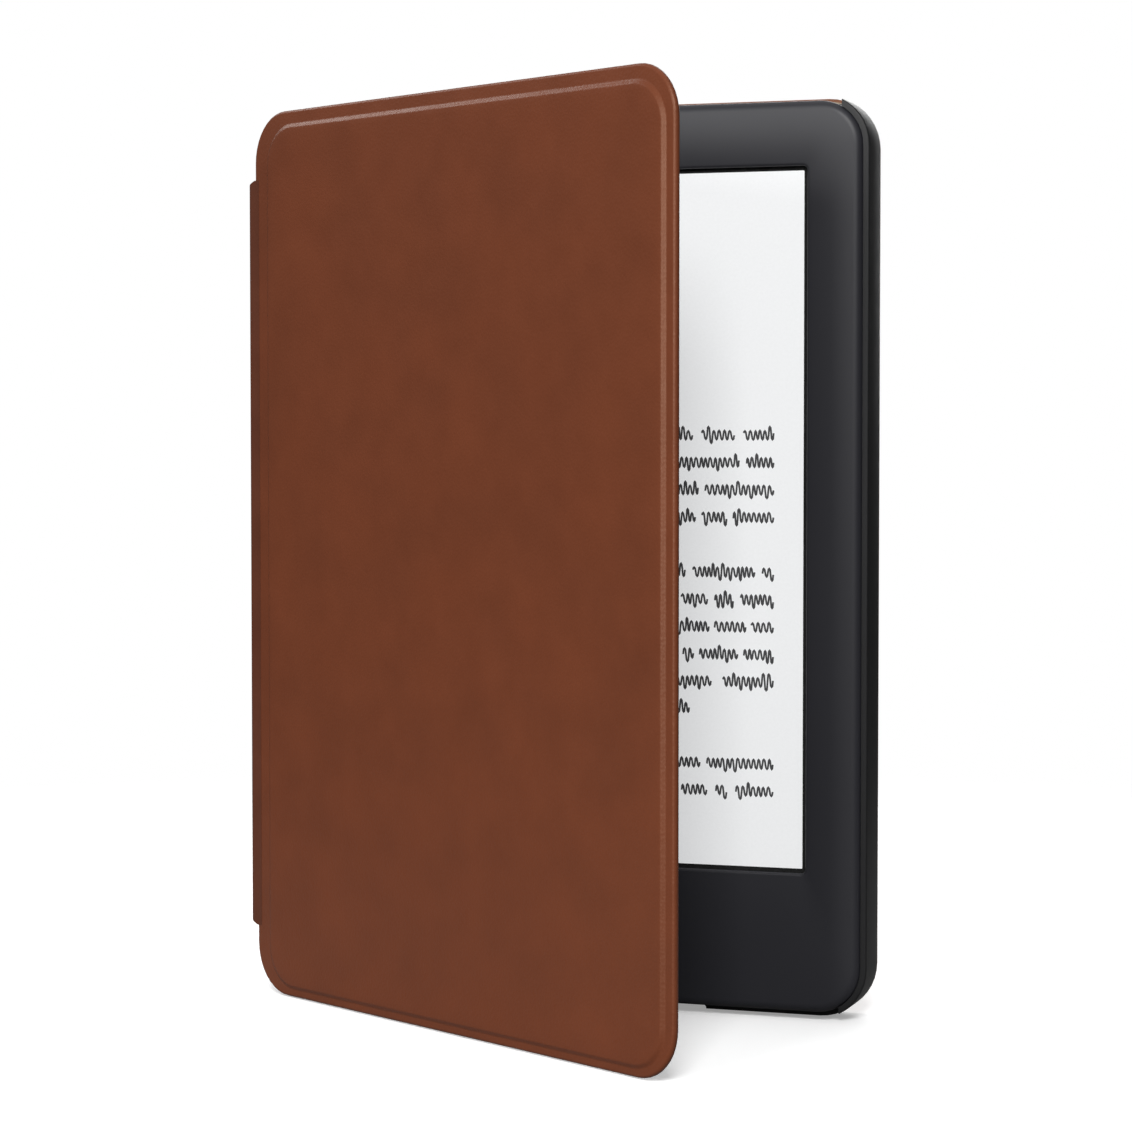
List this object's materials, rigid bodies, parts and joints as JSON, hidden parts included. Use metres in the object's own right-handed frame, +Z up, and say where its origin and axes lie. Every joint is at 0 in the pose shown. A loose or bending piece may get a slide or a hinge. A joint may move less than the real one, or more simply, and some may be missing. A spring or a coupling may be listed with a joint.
{
  "type": "e-reader",
  "caption": "Slim portrait e-reader with a grey paper-like screen, clipped into a hard tray with a hinged brown leather folio cover.",
  "frame": {"origin": "bottom middle of the folio's back panel, halfway through its thickness, on the floor plane", "axes": "+Z up along the spine, +X right as read (the spine is on the -X side), +Y away from the reader's eye, so the screen faces -Y"},
  "size_m": [0.1165, 0.0729, 0.1625],
  "materials": {
    "housing": "fine-textured moulded black ABS",
    "screen_film": "anti-glare film over grey electronic paper",
    "light_guide": "clear moulded light guide",
    "panel": "electronic paper laminate",
    "foam_black": "closed-cell foam tape",
    "chassis": "cast magnesium alloy, bead blasted",
    "board": "green solder mask",
    "chip": "black epoxy package",
    "shield": "tinned steel sheet",
    "port": "plated steel shell",
    "flex": "amber polyimide flex",
    "connector": "ivory connector plastic",
    "battery": "laminated foil pouch",
    "tape": "stretch-release adhesive strip",
    "wire": "insulated wire",
    "coax": "thin coaxial lead",
    "light_pipe": "translucent light pipe",
    "screw": "zinc-plated steel",
    "key": "fine-textured moulded black ABS",
    "tray": "moulded black polycarbonate",
    "leather": "smooth brown synthetic leather, semi-matte",
    "lining": "dark microfibre lining",
    "greyboard": "pressed board stiffener",
    "foam": "thin padding foam",
    "magnet": "nickel-plated magnet"
  },
  "bodies": {
    "tray": {"front_frame": "housing", "rear_cover": "housing", "screen_gasket": "foam_black", "touch_sheet": "screen_film", "light_guide": "light_guide", "light_strip": "flex", "display_panel": "panel", "display_flex": "flex", "middle_frame": "chassis", "main_board": "board", "processor_chip": "chip", "memory_chips": "chip", "power_chip": "chip", "shield_can": "shield", "board_passives": "chip", "display_connector": "connector", "charging_port": "port", "wifi_antenna": "flex", "antenna_lead": "coax", "battery": "battery", "battery_tape": "tape", "battery_lead": "wire", "battery_connector": "connector", "hall_sensor": "chip", "status_light": "light_pipe", "board_screws": "screw", "tact_switch": "port", "tray_shell": "tray", "back_board": "greyboard", "back_leather": "leather"},
    "spine": {"spine_leather": "leather", "spine_stiffener": "greyboard", "spine_lining": "lining"},
    "cover": {"cover_leather": "leather", "cover_padding": "foam", "cover_board": "greyboard", "cover_lining": "lining", "wake_magnet": "magnet", "closing_magnets": "magnet"},
    "power_key": {"power_button": "key", "switch_plunger": "key"}
  },
  "joints": [
    {"name": "spine_fold", "type": "hinge", "parent": "tray", "child": "spine", "pos_m": [-0.0582, 0, 0.081], "axis": [0, 0, -1], "range_deg": [0, 180]},
    {"name": "cover_fold", "type": "hinge", "parent": "spine", "child": "cover", "pos_m": [-0.0582, -0.0122, 0.081], "axis": [0, 0, -1], "range_deg": [-30.8, 149.2]},
    {"name": "power_press", "type": "slide", "parent": "tray", "child": "power_key", "axis": [0, 0, 1], "range_m": [0, 0.0003], "stiffness_N_per_m": 600}
  ]
}
